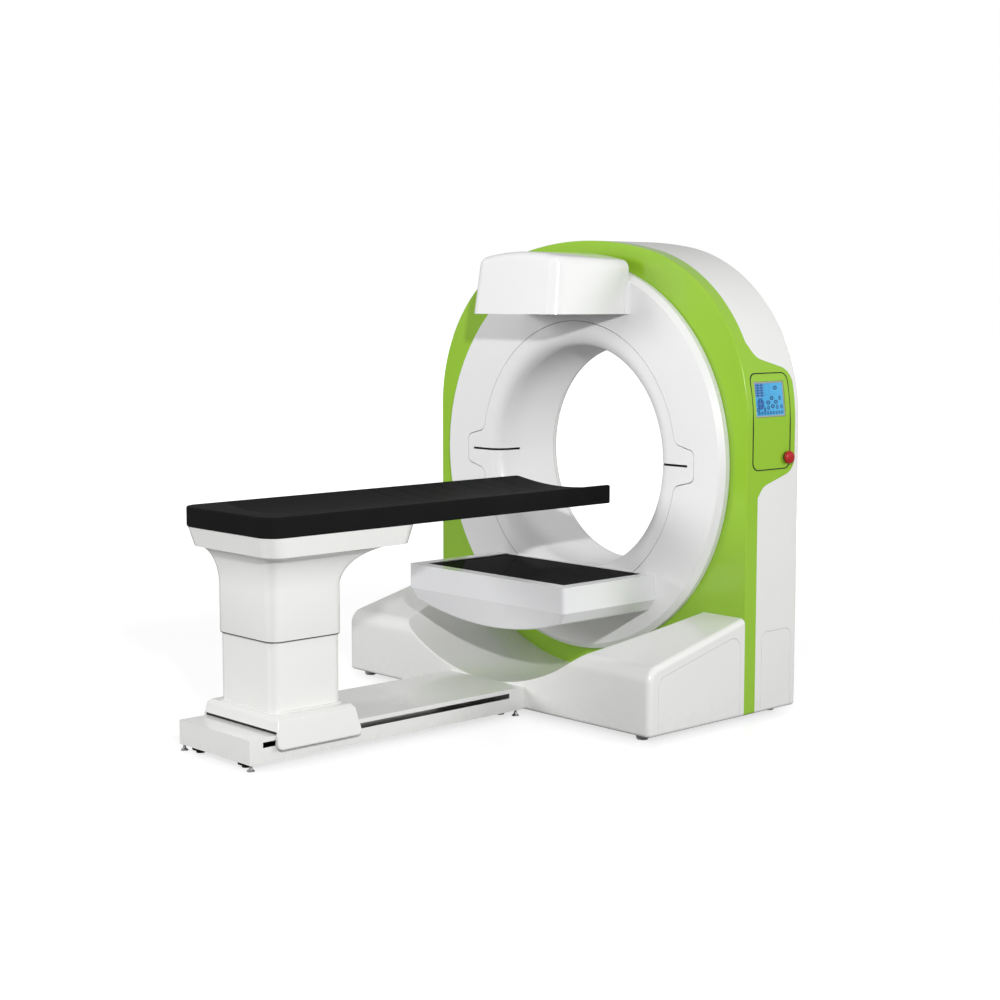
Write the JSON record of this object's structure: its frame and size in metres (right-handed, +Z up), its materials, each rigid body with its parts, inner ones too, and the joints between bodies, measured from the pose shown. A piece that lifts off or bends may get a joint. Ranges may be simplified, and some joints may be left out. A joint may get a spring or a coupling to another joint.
{
  "type": "ring-gantry CT simulator with patient couch",
  "caption": "Ring-gantry CT simulator: arch-shaped cabinet, rotor with X-ray head and detector tray round an open bore, and a couch on a lift column that travels on a floor rail.",
  "frame": {"origin": "on the floor, at the centre of the gantry's four anchor feet, straight below the bore's axis", "axes": "+Y runs along the bore from the couch to the rear of the gantry, +X points to the flank with the control panel, +Z is up"},
  "size_m": [1.93, 2.323, 2.003],
  "materials": {
    "green_paint": "smooth",
    "white_paint": "smooth",
    "white_plastic": "smooth",
    "grey_plastic": "smooth",
    "black_plastic": "smooth",
    "red_plastic": "smooth",
    "screen_glass": "smooth",
    "black_glass": "smooth",
    "dark_steel": "satin",
    "bare_steel": "brushed",
    "chrome_steel": "polished",
    "bare_aluminium": "satin",
    "belt_rubber": "matte",
    "black_rubber": "matte",
    "carbon_laminate": "satin"
  },
  "bodies": {
    "gantry": {"plinth_cover": "white_paint", "front_fascia": "green_paint", "control_panel": "green_paint", "touch_screen": "screen_glass", "stop_collar": "black_plastic", "stop_switch": "black_plastic", "rear_housing": "white_paint", "rear_hatch_right": "white_paint", "rear_hatch_left": "white_paint", "rear_cover": "white_paint", "rear_trim": "white_paint", "foot_hatch_right": "white_paint", "foot_hatch_left": "white_paint", "floor_frame": "dark_steel", "anchor_feet": "grey_plastic", "gantry_frame": "dark_steel", "bearing_outer_race": "bare_steel", "drive_belt": "belt_rubber", "drive_motor": "dark_steel", "couch_rail": "white_paint", "guide_rails": "bare_steel", "screw_feet": "chrome_steel", "rail_pads": "black_rubber"},
    "rotor": {"ring_cover": "white_plastic", "bore_liner": "white_plastic", "laser_windows": "black_glass", "rotor_disc": "bare_aluminium", "rotor_drum": "bare_aluminium", "bearing_inner_race": "bare_steel", "drive_rim": "bare_steel", "head_cover": "white_plastic", "beam_window": "grey_plastic", "head_arm": "bare_aluminium", "xray_tube": "bare_aluminium", "collimator": "dark_steel", "tray_shell": "white_plastic", "detector_glass": "black_glass", "tray_arm": "bare_aluminium", "flat_detector": "bare_aluminium", "balance_weights": "dark_steel"},
    "pulley": {"motor_pulley": "bare_steel"},
    "carriage": {"carriage_plate": "dark_steel", "guide_blocks": "bare_steel", "rail_brake": "black_rubber", "saddle_cover": "white_paint", "lower_column": "white_paint", "lift_cylinder": "bare_aluminium"},
    "lift": {"flared_sleeve": "white_paint", "lift_rod": "chrome_steel", "couch_tub": "white_paint", "cross_rails": "bare_steel"},
    "top": {"couch_top": "carbon_laminate", "top_runners": "bare_aluminium"},
    "stop": {"stop_button": "red_plastic"}
  },
  "joints": [
    {"name": "ring_turn", "type": "hinge", "parent": "gantry", "child": "rotor", "pos_m": [0, 0.2, 1.05], "axis": [0, 1, 0], "range_deg": [-180, 180]},
    {"name": "pulley_turn", "type": "hinge", "parent": "gantry", "child": "pulley", "pos_m": [-0.64, 0.28, 0.33], "axis": [0, 1, 0], "continuous": true},
    {"name": "carriage_slide", "type": "slide", "parent": "gantry", "child": "carriage", "axis": [0, 1, 0], "range_m": [-0.11, 0.84]},
    {"name": "lift_slide", "type": "slide", "parent": "carriage", "child": "lift", "axis": [0, 0, 1], "range_m": [-0.1, 0.15]},
    {"name": "top_slide", "type": "slide", "parent": "lift", "child": "top", "axis": [1, 0, 0], "range_m": [-0.06, 0.06]},
    {"name": "stop_press", "type": "slide", "parent": "gantry", "child": "stop", "axis": [-1, 0, 0], "range_m": [0, 0.005], "stiffness_N_per_m": 800}
  ],
  "couplings": [
    {"joint": "pulley_turn", "follows": "ring_turn", "ratio": 14.222}
  ]
}
